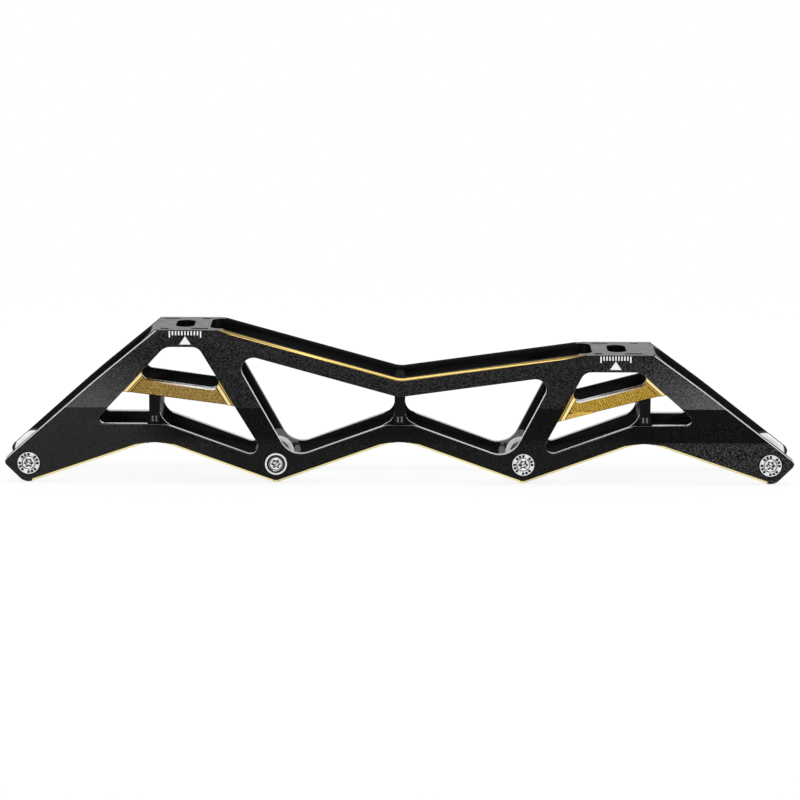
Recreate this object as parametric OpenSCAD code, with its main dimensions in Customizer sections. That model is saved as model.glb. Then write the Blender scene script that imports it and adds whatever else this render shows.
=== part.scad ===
// Inline skate frame for four wheels: two side plates, two mount platforms, three cross posts, four braces
// and four axles that screw in from the right side. X runs forward, Y to the left, Z up. Sizes in mm.

/* [Wheel line] */
// Distance from the first axle to the last
wheelbase = 335; // [330:1:342]
// Largest wheel that the frame takes
wheel_diameter = 110; // [100:1:110]
// Clear width between the two wheel seats of one axle
seat_gap = 24.4; // [24.2:0.1:25]
// Axle shank, which is the bore of the wheel bearings
axle_diameter = 8; // [7.8:0.1:8.2]
// Thread on the axle's far end
thread_diameter = 7; // [6.5:0.1:7.2]
// Axle head
head_diameter = 10.5; // [10:0.1:11.5]
// Height of the axle head
head_height = 2.4; // [2:0.1:2.8]

/* [Side plates] */
// Outside width at the axle line
axle_width = 34; // [33.6:0.1:35]
// Outside width above the crease
top_width = 36.5; // [36:0.1:38]
// Clear width between the plates
channel_width = 27.5; // [27:0.1:28]
// Height of the crease above the axle line
crease_height = 26; // [23:0.5:27]
// Distance from an axle to the lower edges beside it
tip_radius = 8.2; // [8:0.1:8.8]
// Slope of the lower edges
lower_edge_angle = 20; // [19:0.5:21]
// Depth of the lower rail
lower_rail = 8.2; // [7.8:0.1:8.6]
// Depth of the upper rail
upper_rail = 8.2; // [7.2:0.1:8.6]
// Depth of the rail under a mount platform
top_rail = 7.8; // [7.1:0.1:8.2]
// Height of the upper rail's lowest point above the axle line
valley_height = 39.4; // [38.6:0.2:40.6]
// Radius of the wheel seat at each end of an axle
boss_radius = 7.3; // [6.6:0.1:7.8]
// Chamfer on the upper rail's outer edge
top_chamfer = 1.1; // [0.8:0.1:1.6]
// Chamfer on the lower edges
low_chamfer = 0.9; // [0.5:0.1:1.1]

/* [Mount platforms] */
// Distance between the two mount slots
mount_spacing = 195; // [192:0.5:198]
// Rear platform's top above the axle line
rear_height = 61.4; // [59.4:0.2:63.4]
// Front platform's top above the axle line
front_height = 50.6; // [49.6:0.2:52]
// Thickness of a platform
platform_thickness = 7; // [5:0.2:7]
// Width of a mount slot along the frame
slot_width = 8.5; // [8:0.1:9]
// Length of a mount slot across the frame
slot_length = 19; // [17:0.5:20]

/* [Posts and braces] */
// Width of a cross post's stem
post_width = 4.8; // [4.6:0.1:5.8]
// Width of a cross post's foot
post_foot = 7.6; // [6.6:0.2:8.2]
// Height of the post seats above the axle line
seat_height = 18.2; // [17.8:0.1:18.6]
// How far a post's ends stand back from the plates' outer faces
post_recess = 0.9; // [0.6:0.1:1.1]
// Height of a brace's band
brace_height = 6.8; // [6:0.2:7.4]
// How far a brace stands back from the plate's outer face
brace_recess = 0.8; // [0.5:0.1:1.1]
// Depth of the milled field on a brace
brace_field = 1.2; // [0.6:0.1:1.4]
// Width of a brace's raised end lips
brace_lip = 2.6; // [1.8:0.2:3.2]

/* [Fits] */
// Radial clearance of a pressed pin or insert
press_gap = 0.02; // [0.01:0.01:0.03]
// Radial clearance of an axle in its bores
axle_gap = 0.05; // [0.03:0.01:0.08]
// Clearance around an axle head
head_gap = 0.2; // [0.15:0.05:0.3]
// Clearance of a brace's tongue in its slot
tongue_gap = 0.05; // [0.03:0.01:0.08]

/* [Hidden] */

arc_step = 7;
pitch = wheelbase / 3;
axle_x = [-1.5 * pitch, -0.5 * pitch, 0.5 * pitch, 1.5 * pitch];
half_axle = axle_width / 2;
half_top = top_width / 2;
half_channel = channel_width / 2;
half_seat = seat_gap / 2;
// The lowest point of a tip sets the height of the axle line
tip_round = 3.5;
tip_apex = tip_radius / cos(lower_edge_angle);
axle_z = tip_apex - tip_round * (1 / cos(lower_edge_angle) - 1);
peak_round = 20;
// The outer peaks of the lower edge lie this far inside the middle between their axles
peak_in = 1.5;
// Upper edge's chamfer: where it starts before the corner and is full after it, rear end and front end
chamfer_lead = [2.6, 3.4];
chamfer_taper = [3.5, 8];
valley_round = 12;
// The mount slots' middle lies a little ahead of the wheelbase's
mount_shift = 0.5;
rear_mount = mount_shift - mount_spacing / 2;
front_mount = mount_shift + mount_spacing / 2;
// Ends of the plates' flat tops from the mount slot: toward the frame's middle, then toward its end
rear_ends = [17.2, 12.4];
front_ends = [17.4, 16.3];
// Ends of the platforms from the mount slot, rear one and front one
rear_platform = [-15.5, 11.5];
front_platform = [-11.4, 17.2];
platform_round = 5;
// Grooves over the joints of plates and platforms: width, depth, and spans from the mount slot
groove_width = 2.2;
groove_depth = 0.5;
groove_long = [3.3, 10.7];
groove_short = [7.1, 10.6];
end_reach = 7.7;
slope_reach = [8.4, 8];
// The end slopes swell a little: height above the axle line, how much, and radius, rear and front
swell_height = [37.3, 34.4];
swell = [0.85, 0.6];
swell_round = 400;
// Corner radii of the outline
end_round_out = 2.5;
end_round_top = 1.2;
rail_round = 4;
// Corner radii of the windows, in the order of their corners
end_window_round = [3.7, 3, 2.5, 6.5, 5];
middle_window_round = [10, 1, 1, 10, 5, 0, 5.5];
// Window edges: turn of the end strut's inner edge and its distance from the end axle
strut_turn = [6.3, 4.6];
strut_reach = [8.9, 7.8];
// Inner struts: direction and distance of each edge from the middle axles
window_edge = [148.9, 152.5];
window_reach = [2.15, 4.32];
middle_edge = [29.2, 152.8];
middle_reach = [6.96, 6.27];
// Braces: height of the lower edge over the post, and its slope
brace_level = [31.4, 30.3];
brace_slope = [7.5, 14.4];
brace_tongue = 2;
tongue_margin = 1;
brace_round = 3;
// How far the milled field runs out past the band, and the ledge in the front brace's lower corner
field_runout = 2;
ledge_rise = 3.4;
ledge_run = 14;
wheel_clear = wheel_diameter / 2 + 2;
pin_radius = 1;
pin_reach = 4.5;
// Place of the post pins and of the brace tongues across the frame
pin_y = (half_channel + outer_y(seat_height) - post_recess) / 2;
tongue_y = [half_channel + 0.7, half_channel + 2];
foot_rise = 3;
// The end posts stand this far inside the middle between their axles
post_shift = 1.2;
// Small pocket in the foot of a post: width, height, depth and height over the seat
foot_pocket = [2.4, 3];
pocket_depth = 0.25;
pocket_rise = 1;
// The centre post's web stops this far under the upper rails
web_drop = 1.2;
dowel_radius = 1.5;
dowel_spread = 9.3;
dowel_in_plate = 2.6;
dowel_y = half_channel - 6;
insert_radius = 5;
insert_short = 0.5;
// Axle: head below the plate's face, end short of the far face, chamfers, ring groove and drive recess
head_inset = 0.1;
axle_short = 0.8;
axle_chamfer = 0.3;
// Flare of the wheel seats where they meet the plates, and how deep they go into them
boss_flare = 3;
boss_root = 0.5;
ring = [2.8, 3.1];
ring_depth = 0.3;
drive_radius = 1.85;
drive_lobe = 0.35;
drive_depth = 1.9;
end_gap = 0.1;
eps = 0.01;

// Half width of the frame at a height above the axle line
function outer_y(z) =
    z > crease_height ? half_top : half_axle + (half_top - half_axle) * z / crease_height;
function unit(v) = v / norm(v);
function polar(a) = [cos(a), sin(a)];
// A line is its unit normal and its distance from the origin
function line(c, a, r) = [polar(a), polar(a) * c + r];
function through(p, q) = let (n = unit([p[1] - q[1], q[0] - p[0]])) [n, n * p];
function shifted(l, s) = [l[0], l[1] + s];
function meet(l, m) =
    let (d = l[0][0] * m[0][1] - l[0][1] * m[0][0])
    [(l[1] * m[0][1] - m[1] * l[0][1]) / d, (l[0][0] * m[1] - m[0][0] * l[1]) / d];
function corner(p, r) = [p[0], p[1], r];
function flipped(pts) = [for (i = [len(pts) - 1:-1:0]) [-pts[i][0], pts[i][1], pts[i][2]]];
function middle_of(p, c, q, r) =
    let (u = unit(p - c), v = unit(q - c))
    c + unit(u + v) * r / sin(acos(u * v) / 2);
function fillet(p, c, q, r) =
    let (
        u = unit(p - c),
        v = unit(q - c),
        h = acos(u * v) / 2,
        m = c + unit(u + v) * r / sin(h),
        s = c + u * r / tan(h) - m,
        turn = 180 - 2 * h,
        way = u[0] * v[1] - u[1] * v[0] > 0 ? -1 : 1,
        n = max(2, ceil(turn / arc_step)),
        a = atan2(s[1], s[0])
    )
    [for (i = [0:n]) m + r * polar(a + way * turn * i / n)];
function flat(p) = [p[0], p[1]];
function rounded(pts) = [
    for (i = [0:len(pts) - 1])
        let (
            a = flat(pts[(i + len(pts) - 1) % len(pts)]),
            b = flat(pts[i]),
            c = flat(pts[(i + 1) % len(pts)])
        )
        each pts[i][2] > 0 ? fillet(a, b, c, pts[i][2]) : [b]
];

// Lines of the outline, with ends and windows worked out on the front side and flipped for the rear
low_right = line([0.5 * pitch, 0], lower_edge_angle - 90, tip_radius);
low_end = line([1.5 * pitch, 0], -90 - lower_edge_angle, tip_radius);
end_line = line([1.5 * pitch, 0], -45, end_reach);
function slope_angle(x, h, r) =
    let (d = [x - 1.5 * pitch, h])
    atan2(d[1], d[0]) - acos(r / norm(d));
front_slope = slope_angle(front_mount + front_ends[1], front_height, slope_reach[1]);
rear_slope = slope_angle(-rear_mount + rear_ends[1], rear_height, slope_reach[0]);
end_apex = meet(end_line, low_end);
peak_z = 0.5 * pitch * tan(lower_edge_angle) - tip_apex;
front_peak = [pitch - peak_in, peak_z - peak_in * tan(lower_edge_angle)];
rear_peak = [-front_peak[0], front_peak[1]];
middle_peak = [0, peak_z];
end_angle = atan2(front_peak[1] - end_apex[1], end_apex[0] - front_peak[0]);
end_half = (135 - end_angle) / 2;
end_lift = sin(end_angle + end_half) / sin(end_half) - 1;
end_round = max(1.5, (-axle_z - end_apex[1]) / end_lift);
function end_corners(k, x, h, a, r) =
    let (slope = line([1.5 * pitch, 0], a, r))
    [
        corner(end_apex, end_round),
        corner(meet(end_line, slope), end_round_out),
        corner(meet(shifted(slope, swell[k]), [[0, 1], swell_height[k]]), swell_round),
        [x, h, end_round_top]
    ];
rear_inner = [rear_mount + rear_ends[0], rear_height];
front_inner = [front_mount - front_ends[0], front_height];
valley = [0, valley_height];
rail_rear = through(rear_inner, valley);
rail_front = through(valley, front_inner);
outline = rounded(concat(
    flipped(end_corners(0, -rear_mount + rear_ends[1], rear_height, rear_slope, slope_reach[0])),
    [
        corner(rear_peak, peak_round),
        [axle_x[1], -tip_apex, tip_round],
        corner(middle_peak, peak_round),
        [axle_x[2], -tip_apex, tip_round],
        corner(front_peak, peak_round)
    ],
    end_corners(1, front_mount + front_ends[1], front_height, front_slope, slope_reach[1]),
    [corner(front_inner, rail_round), corner(valley, valley_round), corner(rear_inner, rail_round)]
));

// Window in an end, drawn on the front side: 0 is the rear end's, 1 the front end's
function in_edge(k) = line([0.5 * pitch, 0], window_edge[k], -window_reach[k]);
function out_edge(k) =
    line([1.5 * pitch, 0], (k == 0 ? rear_slope : front_slope) - strut_turn[k], -strut_reach[k]);
low_rail_top = shifted(low_right, -lower_rail);
seat_line = [[0, -1], -seat_height];
post_x = pitch - post_shift;
function end_window(k) = let (top = [[0, 1], (k == 0 ? rear_height : front_height) - top_rail]) [
    corner(meet(in_edge(k), low_rail_top), end_window_round[0]),
    corner(meet(low_rail_top, seat_line), end_window_round[1]),
    corner(meet(seat_line, out_edge(k)), end_window_round[2]),
    corner(meet(out_edge(k), top), end_window_round[3]),
    corner(meet(top, in_edge(k)), end_window_round[4])
];
under_rear = shifted(rail_rear, -upper_rail);
under_front = shifted(rail_front, -upper_rail);
under_middle = meet(under_rear, under_front);
middle_rear = line([axle_x[1], 0], middle_edge[0], middle_reach[0]);
middle_front = line([axle_x[2], 0], middle_edge[1], middle_reach[1]);
middle_low_rear = line([axle_x[1], 0], lower_edge_angle - 90, tip_radius - lower_rail);
middle_low_front = line([axle_x[2], 0], -90 - lower_edge_angle, tip_radius - lower_rail);
middle_window = [
    corner(meet(middle_rear, middle_low_rear), middle_window_round[0]),
    corner(meet(middle_low_rear, seat_line), middle_window_round[1]),
    corner(meet(middle_low_front, seat_line), middle_window_round[2]),
    corner(meet(middle_low_front, middle_front), middle_window_round[3]),
    corner(meet(middle_front, under_front), middle_window_round[4]),
    corner(under_middle, middle_window_round[5]),
    corner(meet(under_rear, middle_rear), middle_window_round[6])
];

// Braces, drawn on the front side
function brace_low(k) = line([pitch, brace_level[k]], brace_slope[k] - 90, 0);
function brace_top(k) = line([pitch, brace_level[k]], brace_slope[k] + 90, brace_height);
function brace_body(k) =
    let (
        t = polar(brace_slope[k]),
        kr = meet(brace_top(k), out_edge(k)),
        kl = meet(brace_top(k), in_edge(k)),
        ro = out_edge(k)[0],
        ri = in_edge(k)[0]
    )
    concat(
        [meet(brace_low(k), in_edge(k)), meet(brace_low(k), out_edge(k))],
        fillet(kr + [-ro[1], ro[0]], kr, kr - t, brace_round),
        fillet(kl + t, kl, kl + [ri[1], -ri[0]], brace_round)
    );
function brace_tongue_shape(k, g) =
    let (
        a = shifted(brace_low(k), g - tongue_margin),
        b = shifted(brace_top(k), g - tongue_margin),
        i = shifted(in_edge(k), brace_tongue + g),
        o = shifted(out_edge(k), brace_tongue + g)
    )
    [meet(a, i), meet(a, o), meet(b, o), meet(b, i)];
function brace_field_shape(k) =
    let (
        i = shifted(in_edge(k), -brace_lip),
        o = shifted(out_edge(k), -brace_lip),
        a = shifted(brace_low(k), field_runout),
        b = shifted(brace_top(k), field_runout),
        foot = meet(brace_low(k), i),
        tip = foot + ledge_run * polar(brace_slope[k])
    )
    k == 0 ? [meet(a, i), meet(a, o), meet(b, o), meet(b, i)]
        : [foot + ledge_rise * [i[0][1], -i[0][0]], tip, tip - [0, field_runout],
            meet(a, o), meet(b, o), meet(b, i)];

// Shape drawn in X and Z, between two Y values
module across(y0, y1) {
    translate([0, y1, 0])
        rotate([90, 0, 0])
            linear_extrude(height = y1 - y0)
                children();
}

module rod(x, z, r, y0, y1) {
    translate([x, y1, z])
        rotate([90, 0, 0])
            cylinder(r = r, h = y1 - y0, $fn = 72);
}

module plate_section() {
    low = -20;
    rotate([90, 0, 90])
        linear_extrude(height = 2 * wheelbase, center = true)
            polygon([
                [half_channel, low],
                [outer_y(low), low],
                [half_top, crease_height],
                [half_top, rear_height + 20],
                [half_channel, rear_height + 20]
            ]);
}

// Flat chamfer from point p to q on a left plate's outer edge; m points out of the edge
module edge_cut(p, q, m, c0, c1) {
    n0 = unit([m[0], 1, m[1]]);
    a = [p[0], outer_y(p[1]), p[1]] - n0 * c0 / sqrt(2);
    b = [q[0], outer_y(q[1]), q[1]] - n0 * c1 / sqrt(2);
    t = unit(b - a);
    n = unit(n0 - (n0 * t) * t);
    s = cross(n, t);
    multmatrix([
        [t[0], s[0], n[0], a[0]],
        [t[1], s[1], n[1], a[1]],
        [t[2], s[2], n[2], a[2]]
    ])
        translate([-eps, -4, 0])
            cube([norm(b - a) + 2 * eps, 8, 4]);
}

module wedge(c, p, q, f) {
    across(0, 30)
        polygon([c, c + (p - c) * f, c + unit((p + q) / 2 - c) * norm(p - c) * f, c + (q - c) * f]);
}

// All that lies outside the chamfer of a left plate's upper edge from p to q
module outside_edge(p, q) {
    t = unit(q - p);
    m = [-t[1], t[0]];
    n = unit([m[0], 1, m[1]]);
    a = [p[0], half_top, p[1]] - n * top_chamfer / sqrt(2);
    s = cross(n, [t[0], 0, t[1]]);
    multmatrix([
        [t[0], s[0], n[0], a[0]],
        [0, s[1], n[1], a[1]],
        [t[1], s[2], n[2], a[2]]
    ])
        translate([-wheelbase, -wheelbase / 2, 0])
            cube([2 * wheelbase, wheelbase, wheelbase]);
}

// Chamfer round a tip
module tip_cut(c, p, q, r) {
    y = outer_y(c[1] - r);
    intersection() {
        difference() {
            rod(c[0], c[1], r + 3, y - low_chamfer - 1, y + 1);
            translate([c[0], y + 1, c[1]])
                rotate([90, 0, 0])
                    cylinder(r1 = r - low_chamfer - 1, r2 = r + 1, h = low_chamfer + 2, $fn = 72);
        }
        wedge(c, p, q, 3);
    }
}

// Chamfers along one lower edge, from the tangent point on its tip to where it runs out at the peak
module low_edge_cuts(p, q) {
    t = unit(q - p);
    m = t[0] > 0 ? [t[1], -t[0]] : [-t[1], t[0]];
    stop = q - t * (peak_round * tan(lower_edge_angle / 2) + 0.5);
    full = stop - t * 5;
    edge_cut(p, full, m, low_chamfer, low_chamfer);
    edge_cut(full, stop, m, low_chamfer, 0);
}

module low_chamfers() {
    peaks = [rear_peak, middle_peak, front_peak];
    for (k = [1, 2]) {
        apex = [axle_x[k], -tip_apex];
        l = peaks[k - 1];
        r = peaks[k];
        arc = fillet(l, apex, r, tip_round);
        tip_cut(middle_of(l, apex, r, tip_round), arc[0], arc[len(arc) - 1], tip_round);
        low_edge_cuts(arc[0], l);
        low_edge_cuts(arc[len(arc) - 1], r);
    }
    for (s = [-1, 1]) {
        apex = [s * end_apex[0], end_apex[1]];
        peak = [s * front_peak[0], front_peak[1]];
        arc = fillet(apex + [s * 5, 5], apex, peak, end_round);
        low_edge_cuts(arc[len(arc) - 1], peak);
    }
}

// The upper edge is hollow between the platforms, so its chamfers meet where all their outsides overlap
module top_chamfers() {
    path = concat([rear_inner], fillet(rear_inner, valley, front_inner, valley_round), [front_inner]);
    down = [0, top_chamfer];
    rear_start = rear_inner - [chamfer_lead[0], 0];
    front_start = front_inner + [chamfer_lead[1], 0];
    rear_full = rear_inner + chamfer_taper[0] * unit(valley - rear_inner) - down;
    front_full = front_inner + chamfer_taper[1] * unit(valley - front_inner) - down;
    intersection() {
        across(0, 30)
            polygon([
                rear_start, rear_full, [rear_full[0], 0], [front_full[0], 0], front_full, front_start,
                [front_start[0], 2 * rear_height], [rear_start[0], 2 * rear_height]
            ]);
        intersection_for (i = [1:len(path) - 1])
            outside_edge(path[i - 1], path[i]);
    }
}

// Wheel seat on a plate's inner face: flat at the wheel and flared out toward the plate
module boss(x) {
    rise = half_channel - half_seat;
    root = 1 + boss_root / rise;
    translate([x, half_channel + boss_root, 0])
        rotate([90, 0, 0])
            cylinder(r1 = boss_radius + boss_flare * root, r2 = boss_radius, h = rise + boss_root, $fn = 72);
}

module post_pin(x, z, g) {
    translate([x, pin_y, z - pin_reach - g])
        cylinder(r = pin_radius + g, h = 2 * (pin_reach + g), $fn = 48);
}

// Places of the platform dowels: X and height
function dowel_places(x, h) = [for (s = [-1, 1]) [x + s * dowel_spread, h - platform_thickness / 2]];

// The left plate without its axle bores; groove pattern 1 is the left plate's, -1 the right plate's
module plate_blank(way) {
    difference() {
        intersection() {
            across(0, 30)
                polygon(outline);
            union() {
                plate_section();
                for (x = axle_x)
                    boss(x);
            }
        }
        across(0, 30) {
            polygon(rounded(middle_window));
            polygon(rounded(end_window(1)));
            polygon(rounded(flipped(end_window(0))));
        }
        top_chamfers();
        low_chamfers();
        for (k = [0, 1])
            mirror([1 - k, 0, 0])
                across(tongue_y[0] - tongue_gap, tongue_y[1] + tongue_gap)
                    polygon(brace_tongue_shape(k, tongue_gap));
        for (x = [-post_x, 0, post_x])
            post_pin(x, seat_height, press_gap);
        post_pin(0, under_middle[1], press_gap);
        for (d = concat(dowel_places(rear_mount, rear_height), dowel_places(front_mount, front_height)))
            rod(d[0], d[1], dowel_radius + press_gap, half_channel - 1, half_channel + dowel_in_plate);
        grooves(rear_mount, rear_height, way);
        grooves(front_mount, front_height, way);
    }
}

// Groove over the span x, ahead of the mount slot or behind it
module groove(x, way) {
    long = x[1] - x[0];
    translate([way * (x[0] + x[1]) / 2, 0, 0])
        cube([long, groove_width, 2 * groove_depth], center = true);
}

module grooves(mount, h, way) {
    translate([mount, half_channel, h]) {
        groove(groove_long, -way);
        groove(groove_short, way);
    }
}

module right_side_plate() {
    seat = half_axle - head_inset - head_height - axle_gap;
    color("#202022")
        translate([0, 0, axle_z])
            mirror([0, 1, 0])
                difference() {
                    plate_blank(-1);
                    for (x = axle_x) {
                        rod(x, 0, axle_diameter / 2 + axle_gap, 0, 30);
                        rod(x, 0, head_diameter / 2 + head_gap, seat, 30);
                    }
                }
}

module left_side_plate() {
    color("#202022")
        translate([0, 0, axle_z])
            difference() {
                plate_blank(1);
                for (x = axle_x)
                    rod(x, 0, insert_radius + press_gap, 0, 30);
            }
}

// Platform between the plates, with rounded inner corners at both ends
module platform(ends, mount, h) {
    x0 = mount + ends[0];
    x1 = mount + ends[1];
    w = half_channel;
    r = platform_round;
    color("#8e8f92")
        translate([0, 0, axle_z])
            difference() {
                intersection() {
                    translate([0, 0, h - platform_thickness])
                        linear_extrude(height = platform_thickness)
                            polygon(concat(
                                fillet([x1 + w, -w], [x1, -w], [x1, 0], r),
                                fillet([x1, 0], [x1, w], [x1 + w, w], r),
                                fillet([x0 - w, w], [x0, w], [x0, 0], r),
                                fillet([x0, 0], [x0, -w], [x0 - w, -w], r)
                            ));
                    across(-30, 30)
                        polygon(outline);
                }
                for (s = [-1, 1])
                    translate([mount, s * (slot_length - slot_width) / 2, 0])
                        cylinder(r = slot_width / 2, h = 2 * h, $fn = 72);
                translate([mount - slot_width / 2, -(slot_length - slot_width) / 2, 0])
                    cube([slot_width, slot_length - slot_width, 2 * h]);
                for (s = [0, 1], d = dowel_places(mount, h))
                    mirror([0, s, 0])
                        rod(d[0], d[1], dowel_radius + press_gap, dowel_y - end_gap, half_channel + 1);
                grooves(mount, h, 1);
                mirror([0, 1, 0])
                    grooves(mount, h, -1);
            }
}

module rear_mount_platform() {
    platform(rear_platform, rear_mount, rear_height);
}

module front_mount_platform() {
    platform(front_platform, front_mount, front_height);
}

// One side of a post's foot, from the stem down to the seat
function foot_side(s) =
    let (
        w = post_width / 2,
        a = [w, seat_height + foot_rise],
        b = [w, seat_height],
        c = [post_foot / 2, seat_height],
        curve = [for (t = [0:0.1:0.8]) (1 - t) * (1 - t) * a + 2 * t * (1 - t) * b + t * t * c],
        x = curve[len(curve) - 1][0]
    )
    [for (q = concat(curve, [[x, seat_height]])) [s * q[0], q[1]]];
function backward(pts) = [for (i = [len(pts) - 1:-1:0]) pts[i]];

// Post at x across both lower rails, with room for the wheels between the plates
module post(x, top) {
    face = outer_y(seat_height) - post_recess;
    w = post_width / 2;
    color("#202022")
        difference() {
            across(-face, face)
                translate([x, 0])
                    polygon(concat(backward(foot_side(1)), top, foot_side(-1)));
            difference() {
                for (a = axle_x)
                    rod(a, 0, wheel_clear, -half_channel, half_channel);
                translate([x - w, -half_top, 0])
                    cube([post_width, top_width, rear_height]);
            }
            for (s = [0, 1])
                mirror([0, s, 0]) {
                    post_pin(x, seat_height, press_gap);
                    if (x == 0)
                        post_pin(x, under_middle[1], press_gap);
                    translate([x - foot_pocket[0] / 2, face - pocket_depth, seat_height + pocket_rise])
                        cube([foot_pocket[0], 1, foot_pocket[1]]);
                }
        }
}

// Top of an end post, which meets the lower edge of its braces
function post_top(k, s) = [
    for (e = [1, -1])
        [e * post_width / 2, brace_level[k] + (s * e * post_width / 2 - post_shift) * tan(brace_slope[k])]
];

module rear_cross_post() {
    translate([0, 0, axle_z])
        post(-post_x, post_top(0, -1));
}

module center_cross_post() {
    w = post_width / 2;
    rise_f = (under_front[1] - under_front[0][0] * w) / under_front[0][1];
    rise_r = (under_rear[1] + under_rear[0][0] * w) / under_rear[0][1];
    low = under_middle[1] - 1;
    high = valley_height - web_drop;
    color("#202022")
        translate([0, 0, axle_z]) {
            post(0, [[w, rise_f], under_middle, [-w, rise_r]]);
            across(-half_channel, half_channel)
                polygon(rounded([[-w, low, 0], [w, low, 0], [w, high, w / 2], [-w, high, w / 2]]));
        }
}

module front_cross_post() {
    translate([0, 0, axle_z])
        post(post_x, post_top(1, 1));
}

// Brace on the left side, drawn for the front end
module brace(k) {
    face = half_top - brace_recess;
    color("#c9a03c")
        translate([0, 0, axle_z]) {
            difference() {
                across(half_channel, face)
                    polygon(brace_body(k));
                across(face - brace_field, half_top)
                    polygon(brace_field_shape(k));
            }
            across(tongue_y[0], tongue_y[1])
                polygon(brace_tongue_shape(k, 0));
        }
}

module rear_right_brace() {
    mirror([0, 1, 0])
        mirror([1, 0, 0])
            brace(0);
}

module rear_left_brace() {
    mirror([1, 0, 0])
        brace(0);
}

module front_right_brace() {
    mirror([0, 1, 0])
        brace(1);
}

module front_left_brace() {
    brace(1);
}

// Six-lobed drive recess
module drive() {
    polygon([for (a = [0:6:354]) (drive_radius + drive_lobe * cos(6 * a)) * polar(a)]);
}

// Axle with its head face at the right side
module axle(k) {
    start = head_inset - half_axle;
    shank = half_seat - 2 * end_gap - start;
    end = half_axle - axle_short - start;
    r = axle_diameter / 2;
    t = thread_diameter / 2;
    h = head_diameter / 2;
    c = axle_chamfer;
    color("#c4c6c9")
        translate([axle_x[k], start, axle_z])
            rotate([-90, 0, 0])
                difference() {
                    rotate_extrude($fn = 96)
                        polygon([
                            [0, 0], [h - c, 0], [h, c], [h, head_height], [r, head_height],
                            [r, shank - c], [r - c, shank], [t, shank],
                            [t, end - c], [t - c, end], [0, end]
                        ]);
                    rotate_extrude($fn = 96)
                        polygon([[ring[0], -1], [ring[1], -1], [ring[1], ring_depth], [ring[0], ring_depth]]);
                    translate([0, 0, -1])
                        linear_extrude(height = drive_depth + 1)
                            drive();
                }
}

module axle_1() {
    axle(0);
}

module axle_2() {
    axle(1);
}

module axle_3() {
    axle(2);
}

module axle_4() {
    axle(3);
}

module axle_inserts() {
    t = thread_diameter / 2 + axle_gap;
    long = half_axle - insert_short - half_seat;
    c = axle_chamfer;
    color("#9a9da1")
        for (x = axle_x)
            translate([x, half_seat, axle_z])
                rotate([-90, 0, 0])
                    rotate_extrude($fn = 96)
                        polygon([
                            [t, c], [t + c, 0], [insert_radius, 0],
                            [insert_radius, long - c], [insert_radius - c, long], [t, long]
                        ]);
}

module mount_dowels(x, h) {
    color("#b4b6b9")
        translate([0, 0, axle_z])
            for (s = [0, 1], d = dowel_places(x, h))
                mirror([0, s, 0])
                    rod(d[0], d[1], dowel_radius, dowel_y, half_channel + dowel_in_plate - end_gap);
}

module rear_mount_dowels() {
    mount_dowels(rear_mount, rear_height);
}

module front_mount_dowels() {
    mount_dowels(front_mount, front_height);
}

module post_dowels(x) {
    color("#b4b6b9")
        translate([0, 0, axle_z])
            for (s = [0, 1])
                mirror([0, s, 0]) {
                    post_pin(x, seat_height, 0);
                    if (x == 0)
                        post_pin(x, under_middle[1], 0);
                }
}

module rear_post_dowels() {
    post_dowels(-post_x);
}

module center_post_dowels() {
    post_dowels(0);
}

module front_post_dowels() {
    post_dowels(post_x);
}

right_side_plate();
left_side_plate();
rear_mount_platform();
front_mount_platform();
rear_cross_post();
center_cross_post();
front_cross_post();
rear_right_brace();
rear_left_brace();
front_right_brace();
front_left_brace();
axle_1();
axle_2();
axle_3();
axle_4();
axle_inserts();
rear_mount_dowels();
front_mount_dowels();
rear_post_dowels();
center_post_dowels();
front_post_dowels();
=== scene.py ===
"""Inline skate frame: black plates with gold edges and braces, grey platforms, silver axle heads."""
import math

import bmesh
import bpy
from mathutils import Matrix, Vector


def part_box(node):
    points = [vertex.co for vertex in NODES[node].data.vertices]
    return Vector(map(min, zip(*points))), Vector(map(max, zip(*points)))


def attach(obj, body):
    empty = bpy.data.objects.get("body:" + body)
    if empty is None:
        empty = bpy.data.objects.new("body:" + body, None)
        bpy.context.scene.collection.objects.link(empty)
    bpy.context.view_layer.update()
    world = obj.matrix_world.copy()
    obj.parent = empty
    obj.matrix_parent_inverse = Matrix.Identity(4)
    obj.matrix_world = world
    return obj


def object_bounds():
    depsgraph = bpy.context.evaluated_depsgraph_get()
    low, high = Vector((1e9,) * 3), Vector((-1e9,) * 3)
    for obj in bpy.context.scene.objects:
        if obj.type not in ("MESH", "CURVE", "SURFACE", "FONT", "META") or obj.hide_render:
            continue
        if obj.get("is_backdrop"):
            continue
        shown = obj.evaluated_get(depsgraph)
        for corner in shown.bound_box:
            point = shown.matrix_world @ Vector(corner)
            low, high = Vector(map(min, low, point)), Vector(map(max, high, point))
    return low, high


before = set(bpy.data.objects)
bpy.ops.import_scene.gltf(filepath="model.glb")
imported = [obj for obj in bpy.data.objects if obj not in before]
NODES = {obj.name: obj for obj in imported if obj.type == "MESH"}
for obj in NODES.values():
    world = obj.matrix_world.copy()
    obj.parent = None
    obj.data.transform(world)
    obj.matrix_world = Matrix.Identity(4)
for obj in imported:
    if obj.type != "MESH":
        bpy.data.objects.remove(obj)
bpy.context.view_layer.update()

MM = 0.001

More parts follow.
